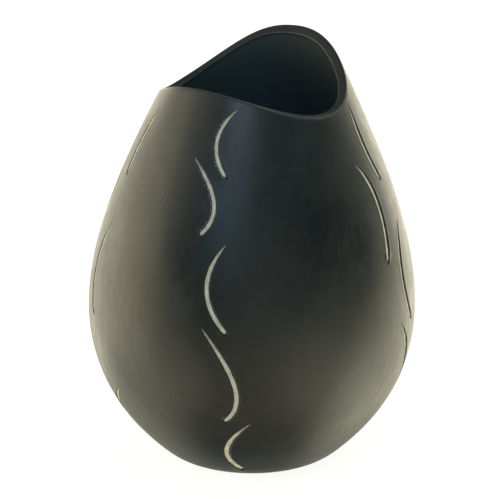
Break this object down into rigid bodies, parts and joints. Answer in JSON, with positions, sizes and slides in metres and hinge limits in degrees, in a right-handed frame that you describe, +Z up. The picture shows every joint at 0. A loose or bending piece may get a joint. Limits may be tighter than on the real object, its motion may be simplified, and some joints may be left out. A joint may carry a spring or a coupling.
{
  "type": "clay pot",
  "caption": "Egg-shaped burnished black clay pot with a wave-cut mouth and columns of short curved pale strokes.",
  "frame": {"origin": "middle of the flat foot, on the surface the pot stands on", "axes": "+Z up out of the mouth, -Y towards the low side of the mouth that faces the viewer, +X to the right seen from there"},
  "size_m": [0.1669, 0.1668, 0.2158],
  "materials": {
    "black_clay": "burnished satin",
    "pale_slip": "matte"
  },
  "bodies": {
    "root": {"clay_body": "black_clay", "slip_line_back_left_1": "pale_slip", "slip_line_back_left_2": "pale_slip", "slip_line_back_left_3": "pale_slip", "slip_line_back_left_4": "pale_slip", "slip_line_back_left_5": "pale_slip", "slip_line_back_right_1": "pale_slip", "slip_line_back_right_2": "pale_slip", "slip_line_back_right_3": "pale_slip", "slip_line_back_right_4": "pale_slip", "slip_line_back_right_5": "pale_slip", "slip_line_front_1": "pale_slip", "slip_line_front_2": "pale_slip", "slip_line_front_3": "pale_slip", "slip_line_front_4": "pale_slip", "slip_line_front_5": "pale_slip", "slip_line_left_1": "pale_slip", "slip_line_left_2": "pale_slip", "slip_line_left_3": "pale_slip", "slip_line_left_4": "pale_slip", "slip_line_left_5": "pale_slip", "slip_line_right_1": "pale_slip", "slip_line_right_2": "pale_slip", "slip_line_right_3": "pale_slip", "slip_line_right_4": "pale_slip", "slip_line_right_5": "pale_slip"}
  },
  "joints": []
}
